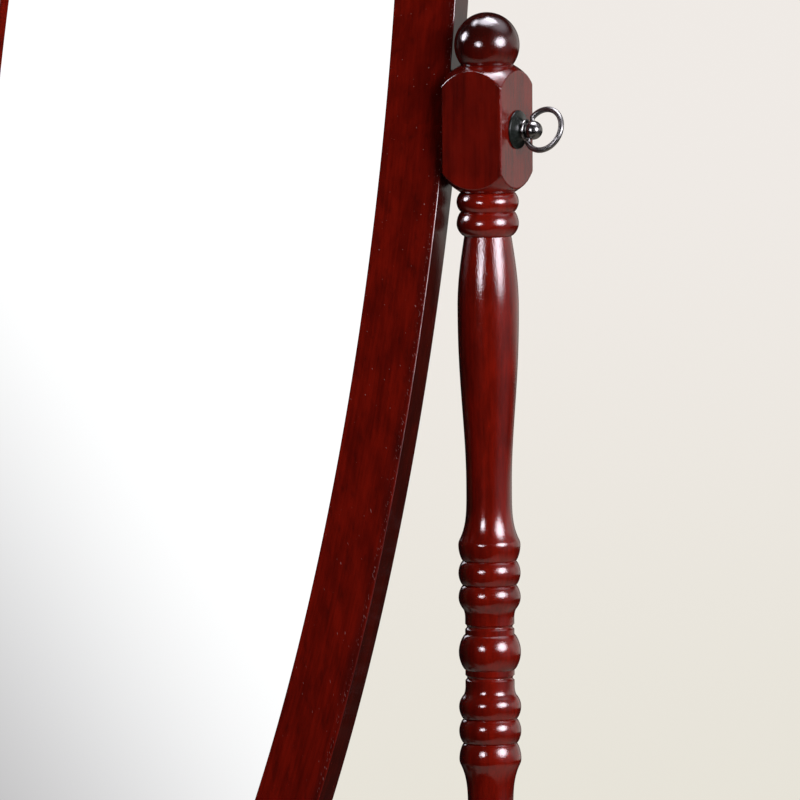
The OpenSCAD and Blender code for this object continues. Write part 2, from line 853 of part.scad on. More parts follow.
module back_right_wheel() {
    castor_at(1, 1) wheel();
}

module front_left_wheel() {
    castor_at(-1, -1) wheel();
}

module back_left_wheel() {
    castor_at(-1, 1) wheel();
}

oval_frame();
mirror_glass();
backing_board();
back_clips();
clip_screws();
pivot_inserts();
rubber_washers();
steel_spacers();
right_post();
left_post();
stretcher();
stretcher_inserts();
stretcher_bolts();
stretcher_dowels();
bolt_buttons();
front_right_leg();
back_right_leg();
front_left_leg();
back_left_leg();
leg_dowels();
leg_inserts();
leg_bolts();
right_rosette();
left_rosette();
right_clamp_bolt();
left_clamp_bolt();
right_ring();
left_ring();
castor_sockets();
front_right_fork();
back_right_fork();
front_left_fork();
back_left_fork();
front_right_axle();
back_right_axle();
front_left_axle();
back_left_axle();
front_right_wheel();
back_right_wheel();
front_left_wheel();
back_left_wheel();
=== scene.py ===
"""An oval cheval mirror on castors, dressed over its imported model.

Lengths inside the modelling calls are millimetres, as on a drawing; Blender itself holds metres.
+Z is up, +X is the right-hand post, and the glass faces -Y."""
import math

import bmesh
import bpy
from mathutils import Matrix, Vector


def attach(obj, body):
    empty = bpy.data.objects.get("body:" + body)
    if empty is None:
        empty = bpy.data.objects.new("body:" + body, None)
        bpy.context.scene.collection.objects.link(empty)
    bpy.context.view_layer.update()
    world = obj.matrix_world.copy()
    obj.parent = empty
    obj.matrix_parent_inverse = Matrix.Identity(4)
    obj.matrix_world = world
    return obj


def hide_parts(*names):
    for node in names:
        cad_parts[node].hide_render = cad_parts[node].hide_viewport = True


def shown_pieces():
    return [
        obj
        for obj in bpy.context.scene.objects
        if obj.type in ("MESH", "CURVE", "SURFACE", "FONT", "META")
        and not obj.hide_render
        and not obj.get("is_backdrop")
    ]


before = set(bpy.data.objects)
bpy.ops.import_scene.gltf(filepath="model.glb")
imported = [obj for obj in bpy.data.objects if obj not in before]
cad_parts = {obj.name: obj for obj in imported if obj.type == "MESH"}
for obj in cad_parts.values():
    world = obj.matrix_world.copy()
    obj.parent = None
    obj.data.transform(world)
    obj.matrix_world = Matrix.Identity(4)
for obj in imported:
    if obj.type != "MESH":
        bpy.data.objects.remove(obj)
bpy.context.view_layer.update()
bpy.ops.object.select_all(action="DESELECT")


# ---------- The oval frame ----------
# A 19 mm board frame, 45 mm wide all round, sawn to an oval and rebated behind for the glass.
# Cherry, stained a dark red-brown and sprayed with hard gloss lacquer. Its sawn outer edge is coloured
# darker than its face, and the lacquer has gone pale where the outer arris was knocked.

class Tap:
    """A socket of a shader node. Sums of taps, written as plain Python, add their own Math nodes."""

    def __init__(self, tree, socket=None):
        self.tree, self.socket = tree, socket

    def node(self, kind, feeds=None, out=0, **settings):
        """Adds a node: its settings first, then the values or taps that its sockets take."""
        made = self.tree.nodes.new(kind)
        for setting, value in settings.items():
            setattr(made, setting, value)
        for inlet, value in (feeds or {}).items():
            if isinstance(value, Tap):
                self.tree.links.new(value.socket, made.inputs[inlet])
            else:
                made.inputs[inlet].default_value = value
        return Tap(self.tree, made.outputs[out] if made.outputs else None)

    def maths(self, operation, first, second):
        return self.node("ShaderNodeMath", {0: first, 1: second}, operation=operation)

    def __add__(self, other):
        return self.maths("ADD", self, other)

    def __sub__(self, other):
        return self.maths("SUBTRACT", self, other)

    def __rsub__(self, other):
        return self.maths("SUBTRACT", other, self)

    def __mul__(self, other):
        return self.maths("MULTIPLY", self, other)

    __radd__, __rmul__ = __add__, __mul__

    def rise(self, low, high):
        """0 below low and 1 above high, with a smooth step between; where high is the lower, it falls."""
        return self.node("ShaderNodeMapRange", {"Value": self, "From Min": low, "From Max": high},
                         interpolation_type="SMOOTHSTEP")

    def tint(self, plain, full):
        """The colour plain where the tap is 0 and full where it is 1; each is a colour or a tap."""
        plain, full = ((*c, 1) if isinstance(c, tuple) else c for c in (plain, full))
        return self.node("ShaderNodeMix", {0: self, 6: plain, 7: full}, out=2, data_type="RGBA")

    def drawn_out(self, x, y, z):
        """A pattern's coordinates, packed closer along the axes with the larger numbers."""
        return self.node("ShaderNodeVectorMath", {0: self, 1: (x, y, z)}, operation="MULTIPLY")

    def noise(self, scale, detail=2.0, roughness=0.5):
        return self.node("ShaderNodeTexNoise", {"Vector": self, "Scale": scale, "Detail": detail,
                                                "Roughness": roughness})


def blank(holder):
    """Empties the node tree of a material or a world, and gives back a tap to start from."""
    holder.use_nodes = True
    holder.node_tree.nodes.clear()
    return Tap(holder.node_tree)


def finish(name, mix, depth=0.0001, **constants):
    """A material: mix turns a tap into its colour, its roughness and its height, which may be None."""
    made = bpy.data.materials.new(name)
    tap = blank(made)
    colour, roughness, height = mix(tap)
    feeds = {"Base Color": colour, "Roughness": roughness, **constants}
    if height is not None:
        feeds["Normal"] = tap.node("ShaderNodeBump", {"Height": height, "Strength": 1.0, "Distance": depth})
    shader = tap.node("ShaderNodeBsdfPrincipled", feeds)
    tap.node("ShaderNodeOutputMaterial", {"Surface": shader})
    return made


def cherry(name, grain="Z", laid_on="Object", turn=None, board=False, finial=False):
    """Lacquered cherry whose fibres run along one axis of its coordinates."""
    def mix(tap):
        place = tap.node("ShaderNodeTexCoord", out=laid_on)
        if turn:
            place = tap.node("ShaderNodeMapping", {"Vector": place, "Rotation": turn})
        fibre = place.drawn_out(*(0.06 if axis == grain else 1.0 for axis in "XYZ"))
        figure = place.drawn_out(*(0.40 if axis == grain else 1.0 for axis in "XYZ"))
        streaks = fibre.noise(420, 4, 0.6)
        stain = figure.noise(75, 4, 0.6)
        pores = fibre.noise(1500, 2, 0.6)
        tone = (streaks * 0.4 + stain * 0.6).rise(0.32, 0.68)
        colour = tone.tint((0.096, 0.0038, 0.0017), (0.216, 0.0074, 0.0028))
        colour = (pores.rise(0.60, 0.74) * 0.3).tint(colour, (0.045, 0.0018, 0.0010))
        roughness = 0.085 + place.noise(70, 3, 0.6) * 0.06
        peel = place.noise(900, 2, 0.5) * 0.5 + pores * 0.5 + streaks * 0.2
        if finial:
            height = tap.node("ShaderNodeSeparateXYZ", {0: place}, out=2)
            soaked = (height.rise(0.828, 0.833) * 0.13 + height.rise(0.9005, 0.9025) * 0.42
                      + height.rise(0.906, 0.926) * 0.31)
            colour = soaked.tint(colour, (0.011, 0.0026, 0.0020))
            # the lacquer has sunk into the grain at the top of the vase
            vase_top = height.rise(0.740, 0.785) * height.rise(0.7920, 0.7900)
            peel = peel + vase_top * figure.noise(700, 3, 0.6) * 2.0
        if board:
            off_edge = tap.node("ShaderNodeSeparateXYZ", {0: place}, out=1)
            blotch = place.drawn_out(0.5, 1, 1).noise(110, 3, 0.6).rise(0.54, 0.72)
            patchy = place.drawn_out(0.3, 1, 1).noise(60, 3, 0.6).rise(0.30, 0.62)
            rubbed = off_edge.rise(0.0110, 0.0015) * patchy
            colour = (blotch * 0.45).tint(colour, (0.040, 0.0030, 0.0022))
            colour = (rubbed * 0.55).tint(colour, (0.026, 0.0040, 0.0040))
            # the sawn outer edge is coloured darker than the face
            colour = (off_edge.rise(0.0002, -0.0012) * 0.74).tint(colour, (0.018, 0.0048, 0.0036))
            # pale nibs, thickest just inside the arris and none on the sawn edge
            near = off_edge.rise(0.0046, 0.0024) * off_edge.rise(0.0004, 0.0012)
            nibs = (place.noise(400, 1, 0.4).rise(0.750, 0.79) * off_edge.rise(-0.0004, 0.0004)
                    + near * place.noise(620, 2, 0.5).rise(0.60, 0.68))
            colour = (nibs * 0.5).tint(colour, (0.42, 0.20, 0.20))
            roughness = roughness + nibs * 0.2
        return colour, roughness, peel
    return finish(name, mix)


def fresh(add, stretch=(1, 1, 1), **settings):
    """Starts a piece from a primitive, open in edit mode, all of it selected; sizes in metres."""
    bpy.ops.object.select_all(action="DESELECT")
    add(enter_editmode=False, align="WORLD", **settings)
    bpy.context.object.scale = stretch
    bpy.ops.object.transform_apply(location=True, rotation=True, scale=True)
    bpy.ops.object.mode_set(mode="EDIT")
    bpy.ops.mesh.select_mode(type="VERT")
    bpy.ops.mesh.select_all(action="SELECT")
    return bpy.context.object


def pick(piece, kind, test):
    """In edit mode, selects only the vertices, edges or faces for which test is true."""
    bpy.ops.mesh.select_mode(type={"verts": "VERT", "edges": "EDGE", "faces": "FACE"}[kind])
    bpy.ops.mesh.select_all(action="DESELECT")
    shape = bmesh.from_edit_mesh(piece.data)
    for part in getattr(shape, kind):
        if test(part):
            part.select_set(True)
    bmesh.update_edit_mesh(piece.data)


def done(piece, name, material, place=None, smooth=40, flats=False):
    """Closes a piece: its place goes into its mesh, its faces point outwards, and it gets its finish.

    With flats, the shading of a rounded edge stays off the flat faces beside it."""
    if piece.mode == "EDIT":
        bpy.ops.object.mode_set(mode="OBJECT")
    if place is not None:
        piece.data.transform(place)
    bpy.ops.object.select_all(action="DESELECT")
    bpy.context.view_layer.objects.active = piece
    piece.select_set(True)
    bpy.ops.object.mode_set(mode="EDIT")
    bpy.ops.mesh.select_all(action="SELECT")
    bpy.ops.mesh.normals_make_consistent(inside=False)
    bpy.ops.object.mode_set(mode="OBJECT")
    bpy.ops.object.shade_smooth_by_angle(angle=math.radians(smooth))
    if flats:
        kept = piece.modifiers.new("kept_flat", "WEIGHTED_NORMAL")
        kept.keep_sharp = True
        bpy.ops.object.modifier_apply(modifier="kept_flat")
    piece.name = piece.data.name = name
    piece.data.materials.clear()
    piece.data.materials.append(material)
    return piece


HALF_W, HALF_H, FACE, REBATE = 0.1975, 0.689, 0.045, 0.009
FRONT, STEP, BACK = -0.0095, 0.0015, 0.0095
PIVOT_Z = 0.860
TILT = Matrix.Translation((0, 0, PIVOT_Z)) @ Matrix.Rotation(math.radians(-12), 4, "X")


def off_oval(point):
    """How far a point lies inside the frame's outer edge, roughly; nought on the edge itself."""
    return 1 - math.hypot(point.x / HALF_W, point.z / HALF_H)


oval = fresh(bpy.ops.mesh.primitive_circle_add, vertices=420, radius=1, fill_type="NGON",
             location=(0, FRONT, 0), rotation=(math.pi / 2, 0, 0), stretch=(HALF_W, HALF_H, 1))
bpy.ops.mesh.inset(thickness=FACE - REBATE, depth=0, use_even_offset=True)
bpy.ops.mesh.inset(thickness=REBATE, depth=0, use_even_offset=True)
bpy.ops.mesh.delete(type="FACE")
bpy.ops.mesh.select_all(action="SELECT")
bpy.ops.mesh.extrude_region_move(TRANSFORM_OT_translate={"value": (0, STEP - FRONT, 0)})
pick(oval, "faces", lambda f: all(abs(v.co.y - STEP) < 1e-5 for v in f.verts)
     and any(abs(off_oval(v.co)) < 1e-4 for v in f.verts))
bpy.ops.mesh.extrude_region_move(TRANSFORM_OT_translate={"value": (0, BACK - STEP, 0)})
bpy.ops.mesh.select_all(action="SELECT")
bpy.ops.mesh.normals_make_consistent(inside=False)


def runs_round(edge, y, outside):
    return (all(abs(v.co.y - y) < 1e-5 for v in edge.verts) and
            all((abs(off_oval(v.co)) < 1e-4) == outside for v in edge.verts) and len(edge.link_faces) == 2
            and abs(edge.link_faces[0].normal.dot(edge.link_faces[1].normal)) < 0.5)


for width, y, outside in ((0.0012, FRONT, True), (0.0004, FRONT, False),
                          (0.0012, BACK, True), (0.0006, BACK, False)):
    pick(oval, "edges", lambda e: runs_round(e, y, outside))
    bpy.ops.mesh.bevel(offset=width, offset_type="OFFSET", segments=4, profile=0.5, affect="EDGES")
bpy.ops.object.mode_set(mode="OBJECT")

# the grain follows the curve: U runs round the oval, and V across the face from its outer arris, with
# the sawn outer edge at V below nought
ROUND_STEPS = 720
arc = [0.0]
for i in range(ROUND_STEPS):
    middle = 2 * math.pi * (i + 0.5) / ROUND_STEPS
    speed = math.hypot(HALF_W * math.sin(middle), HALF_H * math.cos(middle))
    arc.append(arc[-1] + speed * 2 * math.pi / ROUND_STEPS)
while oval.data.uv_layers:
    oval.data.uv_layers.remove(oval.data.uv_layers[0])
laid = oval.data.uv_layers.new(name="board")
for face in oval.data.polygons:
    turns = [(math.atan2(oval.data.vertices[v].co.z / HALF_H, oval.data.vertices[v].co.x / HALF_W)
              / (2 * math.pi)) % 1 for v in face.vertices]
    if max(turns) - min(turns) > 0.5:
        turns = [t + 1 if t < 0.5 else t for t in turns]
    for loop, vert, t in zip(face.loop_indices, face.vertices, turns):
        point = oval.data.vertices[vert].co
        step, part = divmod(t * ROUND_STEPS, 1)
        whole, step = divmod(int(step), ROUND_STEPS)
        along = arc[step] + (arc[step + 1] - arc[step]) * part + whole * arc[-1]
        slope = math.hypot(point.x / HALF_W ** 2, point.z / HALF_H ** 2)
        across = off_oval(point) * math.hypot(point.x / HALF_W, point.z / HALF_H) / slope
        down = point.y - FRONT
        outer = face.normal.dot(Vector((face.center.x / HALF_W ** 2, 0, face.center.z / HALF_H ** 2))) > 0
        sawn_edge = outer and abs(face.normal.y) < 0.98
        laid.data[loop].uv = (along, across - down if sawn_edge else across + down)

oval = done(oval, "oval_frame_board", cherry("cherry_oval", "X", "UV", board=True), TILT, smooth=35,
            flats=True)
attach(oval, "mirror")
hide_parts("oval_frame")


# ---------- The glass and its backing ----------
# A 4 mm float-glass mirror, silvered and painted behind, lies in the rebate on a 4 mm hardboard back.
# Both are held by sprung steel clips. The glass is clean, with only a trace of haze in its shine.

def silvering(tap):
    place = tap.node("ShaderNodeTexCoord", out="Object")
    haze = place.noise(3.5, 3, 0.5).rise(0.35, 0.8)
    return haze.tint((0.955, 0.960, 0.962), (0.945, 0.950, 0.952)), 0.004 + haze * 0.006, None


def hardboard(tap):
    place = tap.node("ShaderNodeTexCoord", out="Object")
    fibre = place.noise(900, 4, 0.7)
    mottle = place.noise(30, 3, 0.5)
    tone = (fibre * 0.6 + mottle * 0.4).rise(0.35, 0.65)
    colour = tone.tint((0.150, 0.082, 0.042), (0.270, 0.160, 0.088))
    return colour, 0.50 + fibre * 0.22, fibre


def paint_model(node, material):
    """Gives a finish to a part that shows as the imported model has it."""
    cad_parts[node].data.materials.clear()
    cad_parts[node].data.materials.append(material)


paint_model("mirror_glass", finish("silvered_glass", silvering, Metallic=1.0))
paint_model("backing_board", finish("hardboard_back", hardboard, depth=0.00008))


# ---------- The clips behind, and their screws ----------
# Ten bright-plated clips hold the back in. Each is a pressed strip with a rounded nose and a small
# joggle, and turns on one pan-head screw with a cross recess.

def plating(tap):
    place = tap.node("ShaderNodeTexCoord", out="Object")
    bloom = place.noise(260, 4, 0.6)
    scratch = place.drawn_out(1, 1, 0.06).noise(1900, 2, 0.6)
    colour = bloom.rise(0.35, 0.7).tint((0.47, 0.47, 0.47), (0.60, 0.595, 0.58))
    return colour, 0.24 + bloom * 0.16 + scratch * 0.06, scratch


zinc = finish("zinc_plate", plating, Metallic=1.0, depth=0.00002)


def oval_spot(turn, inset):
    """A point that far inside the oval's edge, and the inward direction there, in the mirror's axes."""
    out = Vector((HALF_H * math.cos(turn), 0, HALF_W * math.sin(turn))).normalized()
    return Vector((HALF_W * math.cos(turn), 0, HALF_H * math.sin(turn))) - inset * out, -out


def join(pieces):
    bpy.ops.object.select_all(action="DESELECT")
    for piece in pieces:
        piece.select_set(True)
    bpy.context.view_layer.objects.active = pieces[0]
    bpy.ops.object.join()
    return pieces[0]


def copy(piece, place):
    """A copy with its own mesh, moved to a new place."""
    made = piece.copy()
    made.data = piece.data.copy()
    bpy.context.scene.collection.objects.link(made)
    made.data.transform(place)
    if place.determinant() < 0:
        made.data.flip_normals()
    return made


def cut_with(piece, cutter, operation="DIFFERENCE"):
    """Cuts one piece with another, which is used up."""
    cut = piece.modifiers.new("cut", "BOOLEAN")
    cut.operation, cut.object, cut.solver = operation, cutter, "EXACT"
    bpy.context.view_layer.objects.active = piece
    bpy.ops.object.modifier_apply(modifier="cut")
    bpy.data.objects.remove(cutter)


CLIPS, CLIP_T, CLIP_W, CLIP_REACH = 10, 0.0012, 0.012, 0.018
clip = fresh(bpy.ops.mesh.primitive_cylinder_add, vertices=40, radius=CLIP_W / 2, depth=CLIP_T,
             location=(0, 0, CLIP_T / 2))
pick(clip, "verts", lambda v: v.co.x > 0.0001)
bpy.ops.transform.translate(value=(CLIP_REACH - CLIP_W / 2, 0, 0))
pick(clip, "faces", lambda f: f.normal.z > 0.9)
bpy.ops.mesh.inset(thickness=0.0014, depth=0, use_even_offset=True)
bpy.ops.mesh.inset(thickness=0.0006, depth=-0.0003, use_even_offset=True)
pick(clip, "edges", lambda e: len(e.link_faces) == 2 and e.calc_face_angle(0) > 1.2)
bpy.ops.mesh.bevel(offset=0.0003, segments=2, affect="EDGES")
bpy.ops.object.mode_set(mode="OBJECT")

screw = fresh(bpy.ops.mesh.primitive_cylinder_add, vertices=32, radius=0.0034, depth=0.002,
              location=(0, 0, 0.001))
pick(screw, "faces", lambda f: f.normal.z > 0.9)
bpy.ops.mesh.bevel(offset=0.0009, segments=4, affect="EDGES")
pick(screw, "faces", lambda f: f.normal.z > 0.9 and len(f.verts) > 8)
bpy.ops.mesh.inset(thickness=0.0002, depth=0)
bpy.ops.object.mode_set(mode="OBJECT")
for turn in (0, math.pi / 2):
    slot_cutter = fresh(bpy.ops.mesh.primitive_cube_add, size=1, location=(0, 0, 0.0018),
                        rotation=(0, 0, turn + math.pi / 4), stretch=(0.0034, 0.0007, 0.0022))
    pick(slot_cutter, "verts", lambda v: v.co.z < 0.001)
    bpy.ops.transform.resize(value=(0.45, 0.45, 1), center_override=(0, 0, 0))
    bpy.ops.object.mode_set(mode="OBJECT")
    cut_with(screw, slot_cutter)

clips, screws = [], []
for i in range(CLIPS):
    spot, inwards = oval_spot(2 * math.pi / CLIPS * (i + 0.5), FACE - REBATE - 0.009)
    # the clip's own X points inwards, and its Z points backwards, away from the glass
    stand = Matrix((inwards, Vector((0, 1, 0)).cross(inwards), Vector((0, 1, 0)))).transposed().to_4x4()
    clips.append(copy(clip, TILT @ Matrix.Translation(spot + Vector((0, BACK, 0))) @ stand))
    screws.append(copy(screw, TILT @ Matrix.Translation(spot + Vector((0, BACK + CLIP_T, 0))) @ stand
                       @ Matrix.Rotation(0.9 * i, 4, "Z")))
bpy.data.objects.remove(clip)
bpy.data.objects.remove(screw)
for pieces, name, node in ((clips, "mirror_clips", "back_clips"),
                           (screws, "clip_screw_heads", "clip_screws")):
    hardware = done(join(pieces), name, zinc, smooth=35)
    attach(hardware, "mirror")
    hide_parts(node)


# ---------- The two posts ----------
# Each post is turned from one 44 mm square of cherry. Its two square blocks are left in the stock, and
# their shoulders are cut round on the lathe, which leaves an arch on every face. A ball tops it.

def bead(start, end, low, top, next_low, steps=22):
    """A rounded ring that rises from one quirk and falls to the next, which may be deeper."""
    outline = []
    for i in range(steps):
        quirk = low if i < steps / 2 else next_low
        outline.append((quirk + (top - quirk) * math.sin(math.pi * i / steps) ** 0.7,
                        start + (end - start) * i / steps))
    return outline


def glide(start, end, low, high, shape, steps=24):
    """From one radius to another, where shape maps 0..1 to 0..1."""
    return [(low + (high - low) * shape(i / steps), start + (end - start) * i / steps)
            for i in range(steps)]


def swell(u):
    return math.sin(math.pi / 2 * u)


def taper(u):
    return (1 - math.cos(math.pi * u ** 1.15)) / 2


def flare(u):
    return u ** 3.8


def roll(u):
    return 1 - math.cos(math.pi / 2 * u) ** 0.7


def ball(radius, start, end, height, steps=30):
    """Points of a ball's outline between two angles above its equator, in degrees."""
    angles = [math.radians(start + (end - start) * i / steps) for i in range(steps + 1)]
    return [(radius * math.cos(a), height + radius * math.sin(a)) for a in angles]


def turned(profile, around=112, closed=False, angle=2 * math.pi):
    """Draws a half profile of (radius, height) points in millimetres, then spins it about Z."""
    piece = fresh(bpy.ops.mesh.primitive_plane_add, size=0.001)
    bpy.ops.mesh.merge(type="CENTER")
    points = [Vector((r / 1000, 0, z / 1000)) for r, z in profile + (profile[:1] if closed else [])]
    bpy.ops.transform.translate(value=points[0])
    for here, there in zip(points, points[1:]):
        bpy.ops.mesh.extrude_vertices_move(TRANSFORM_OT_translate={"value": there - here})
    bpy.ops.mesh.select_all(action="SELECT")
    bpy.ops.mesh.spin(steps=around, angle=angle, center=(0, 0, 0), axis=(0, 0, 1))
    bpy.ops.mesh.select_all(action="SELECT")
    bpy.ops.mesh.remove_doubles(threshold=0.000002)
    bpy.ops.mesh.normals_make_consistent(inside=False)
    bpy.ops.object.mode_set(mode="OBJECT")
    return piece


SIDE, SHOULDER, NECK, BEAD, QUIRK, WAIST = 44.0, 35.5, 17.4, 20.2, 17.3, 14.8
POST_X, UPPER_Z, LOWER_Z = 223.5, 860.0, 148.5
OUTER_X = POST_X + SIDE / 2
UPPER_HALF, LOWER_HALF = 27.4, 57.0
DOME_IN = math.sqrt(SHOULDER ** 2 - 2 * (SIDE / 2) ** 2)
DOME_OUT = math.sqrt(SHOULDER ** 2 - NECK ** 2)
UPPER_NECK, LOWER_NECK = UPPER_HALF - DOME_IN + DOME_OUT, LOWER_HALF - DOME_IN + DOME_OUT
TURNED = UPPER_Z - UPPER_NECK - LOWER_Z - LOWER_NECK


def mirrored(half, middle):
    return half + [(r, 2 * middle - s) for r, s in reversed(half)]


def shaft():
    """The turning between the two blocks: distances run down from the upper block's neck."""
    vase, mid = 28.5, TURNED / 2
    belly = vase + 46
    ball_at = mid - 11.6
    neck = ball_at - 3.6 - 3
    second = neck - 9.6
    first = second - 15.9
    rolled = first - 15.9
    lip = rolled - 12.2
    waist = lip - 36.4
    half = (bead(0, 12.6, NECK, BEAD, QUIRK) + bead(12.6, vase, QUIRK, BEAD, 15.3)
            + glide(vase, belly, 15.3, 19.9, swell) + glide(belly, waist, 19.9, WAIST, taper, 30)
            # the hollow flare runs into a lip whose top is rounded over
            + glide(waist, lip - 1.8, WAIST, BEAD - 0.9, flare)
            + glide(lip - 1.8, lip + 1.8, BEAD - 0.9, BEAD, lambda u: u * (2 - u), 8)
            + glide(lip + 1.8, rolled, BEAD, QUIRK, roll, 16)
            + bead(rolled, first, QUIRK, BEAD, QUIRK) + bead(first, second, QUIRK, BEAD, 16.6)[:-1]
            + [(16.9, second + 0.2), (16.5, second + 1.4), (16.2, second + 2.8), (16.0, second + 4.8)]
            + [(16.0, neck - 0.2), (15.7, neck)]
            + [(WAIST + 0.2, neck + 0.9), (WAIST, neck + 1.5), (WAIST + 0.2, neck + 2.1), (15.7, neck + 3),
               (16.0, neck + 3.2), (16.0, ball_at)]
            + [p for p in bead(ball_at, mid + 11.6, 16.0, BEAD, 16.0, 30) if ball_at < p[1] < mid])
    return mirrored(half, mid)


def block(half):
    """A square of the stock with lathe-cut shoulders, centred on the origin, its arrises just broken."""
    dome = half - DOME_IN
    neck = dome + DOME_OUT
    end = math.degrees(math.asin(DOME_OUT / SHOULDER))
    cutter = turned([(0, -neck)] + ball(SHOULDER, -end, 0, -dome, 44) + ball(SHOULDER, 0, end, dome, 44)
                    + [(0, neck)], 144)
    stock = fresh(bpy.ops.mesh.primitive_cube_add, size=1, location=(0, 0, 0),
                  stretch=(SIDE / 1000, SIDE / 1000, 2.2 * neck / 1000))
    pick(stock, "edges", lambda e: abs(e.verts[0].co.z - e.verts[1].co.z) > 0.01)
    bpy.ops.mesh.bevel(offset=0.0012, segments=6, affect="EDGES")
    bpy.ops.object.mode_set(mode="OBJECT")
    cut_with(stock, cutter, "INTERSECT")
    ease = stock.modifiers.new("ease", "BEVEL")
    ease.width, ease.segments, ease.limit_method, ease.angle_limit = 0.0006, 3, "ANGLE", math.radians(24)
    ease.use_clamp_overlap = False
    bpy.ops.object.modifier_apply(modifier="ease")
    return stock


def at(x, y, z):
    return Matrix.Translation((x / 1000, y / 1000, z / 1000))


FINIAL, FOOT = 21.2, 16.7
finial_z = UPPER_NECK + math.sqrt(FINIAL ** 2 - FOOT ** 2)
seat = math.degrees(math.acos(FOOT / FINIAL))
finial = turned([(0, UPPER_NECK - 3), (NECK + 0.2, UPPER_NECK - 3), (NECK + 0.3, UPPER_NECK - 0.4),
                 (NECK, UPPER_NECK)] + ball(FINIAL, -seat + 1.5, 90, finial_z, 60))
DROP, DROP_TOP = 13.0, -LOWER_NECK
drop_up = math.sqrt(DROP ** 2 - 12 ** 2)
drop = turned([(0, DROP_TOP + 2)] + [(r, DROP_TOP - s) for r, s in bead(0, 10, NECK, BEAD - 1, 12)]
              + [(r, DROP_TOP - 10 - drop_up - z)
                 for r, z in ball(DROP, -math.degrees(math.acos(12 / DROP)), 90, 0, 40)])
shank = turned([(0, 1.5)] + [(r, -s) for r, s in shaft()] + [(0, -TURNED - 1.5)])
shank.data.transform(at(0, 0, UPPER_Z - UPPER_NECK))
finial.data.transform(at(0, 0, UPPER_Z))
drop.data.transform(at(0, 0, LOWER_Z))
upper, lower = block(UPPER_HALF), block(LOWER_HALF)
upper.data.transform(at(0, 0, UPPER_Z))
lower.data.transform(at(0, 0, LOWER_Z))
right_post = join([shank, finial, upper, lower, drop])
left_post = copy(right_post, at(-POST_X, 0, 0) @ Matrix.Diagonal((-1, 1, 1, 1)))
right_post.data.transform(at(POST_X, 0, 0))
post_wood = cherry("cherry_posts", "Z", finial=True)
for post, side in ((right_post, "right"), (left_post, "left")):
    post = done(post, side + "_post_turned", post_wood, smooth=32, flats=True)
    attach(post, "stand")
    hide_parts(side + "_post")


# ---------- The stretcher ----------
# A turned rail that joins the two lower blocks, with the posts' own vases and beads laid on their side.
# It is pulled up tight by one bolt at each end, and a dowel beside the bolt stops it turning.

RAIL_Z, INNER_X = 128.5, 201.5
rail_half = ([(15.0, 0), (15.0, 4)] + bead(5, 18, 13.5, 17, 12.5) + glide(18, 52, 12.5, 16, swell)
             + glide(52, INNER_X - 47, 16, 10.5, taper, 30)
             + glide(INNER_X - 47, INNER_X - 21, 10.5, 17, flare)
             + glide(INNER_X - 21, INNER_X - 13, 17, 12.5, roll, 14)
             + [p for p in bead(INNER_X - 13, INNER_X + 13, 12.5, 20, 12.5, 30) if p[1] < INNER_X])
rail = turned([(0, 0)] + mirrored(rail_half, INNER_X) + [(0, 2 * INNER_X)])
rail = done(rail, "stretcher_turned", cherry("cherry_rail", "X"),
            at(-INNER_X, 0, RAIL_Z) @ Matrix.Rotation(math.pi / 2, 4, "Y"))
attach(rail, "stand")
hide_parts("stretcher")


# ---------- The buttons over the stretcher's bolts ----------
# A domed cherry button is pressed into each counterbore, so that the bolt's head doesn't show.

button = turned([(0, -4.5), (7, -4.5), (7, 0), (8.6, 0), (9, 0.25)]
                + [(9 * math.cos(math.radians(a)), 0.4 + 2.6 * math.sin(math.radians(a)))
                   for a in range(0, 91, 6)], 64)
buttons = [copy(button, at(s * OUTER_X, 0, RAIL_Z) @ Matrix.Rotation(s * math.pi / 2, 4, "Y"))
           for s in (1, -1)]
bpy.data.objects.remove(button)
buttons = done(join(buttons), "bolt_buttons_turned", post_wood, smooth=50)
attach(buttons, "stand")
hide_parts("bolt_buttons")


# ---------- The four legs ----------
# Sawn from 28 mm cherry boards in one long sweep from the block to the toe. Their long edges are
# rounded over with a router, and their root is left square where it meets the post.

def from_model(node):
    """A copy of a model part's mesh, merged and with its flat faces made whole, open in edit mode."""
    bpy.ops.object.select_all(action="DESELECT")
    made = bpy.data.objects.new(node + "_made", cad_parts[node].data.copy())
    bpy.context.scene.collection.objects.link(made)
    bpy.context.view_layer.objects.active = made
    made.select_set(True)
    if made.data.has_custom_normals:
        bpy.ops.mesh.customdata_custom_splitnormals_clear()
    bpy.ops.object.mode_set(mode="EDIT")
    bpy.ops.mesh.select_all(action="SELECT")
    bpy.ops.mesh.remove_doubles(threshold=0.000002)
    bpy.ops.mesh.dissolve_limited(angle_limit=math.radians(0.4))
    return made


leg_wood = cherry("cherry_legs", "Y", turn=(math.radians(24), 0, 0))
HALF_LEG, ROOT_Y = 0.014, 0.0225
CORNERS = (("front_right", 1, -1), ("back_right", 1, 1), ("front_left", -1, -1), ("back_left", -1, 1))
for corner, x, y in CORNERS:
    leg = from_model(corner + "_leg")
    pick(leg, "edges", lambda e: max(abs(v.co.y) for v in e.verts) > ROOT_Y
         and all(abs(abs(v.co.x - x * POST_X / 1000) - HALF_LEG) < 1e-5 for v in e.verts))
    bpy.ops.mesh.bevel(offset=0.003, segments=4, affect="EDGES", clamp_overlap=True)
    leg = done(leg, corner + "_leg_sawn", leg_wood, smooth=30, flats=True)
    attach(leg, "stand")
    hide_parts(corner + "_leg")


# ---------- The bolts, inserts and dowels in the wood ----------
# Zinc-plated socket-head bolts draw into brass inserts, with plain beech dowels beside them.
# Only the leg bolts' heads show, down their counterbores.

def brass_look(tap):
    place = tap.node("ShaderNodeTexCoord", out="Object")
    tarnish = place.noise(190, 4, 0.6)
    colour = tarnish.rise(0.35, 0.7).tint((0.40, 0.25, 0.08), (0.60, 0.41, 0.16))
    return colour, 0.26 + tarnish * 0.2, tarnish


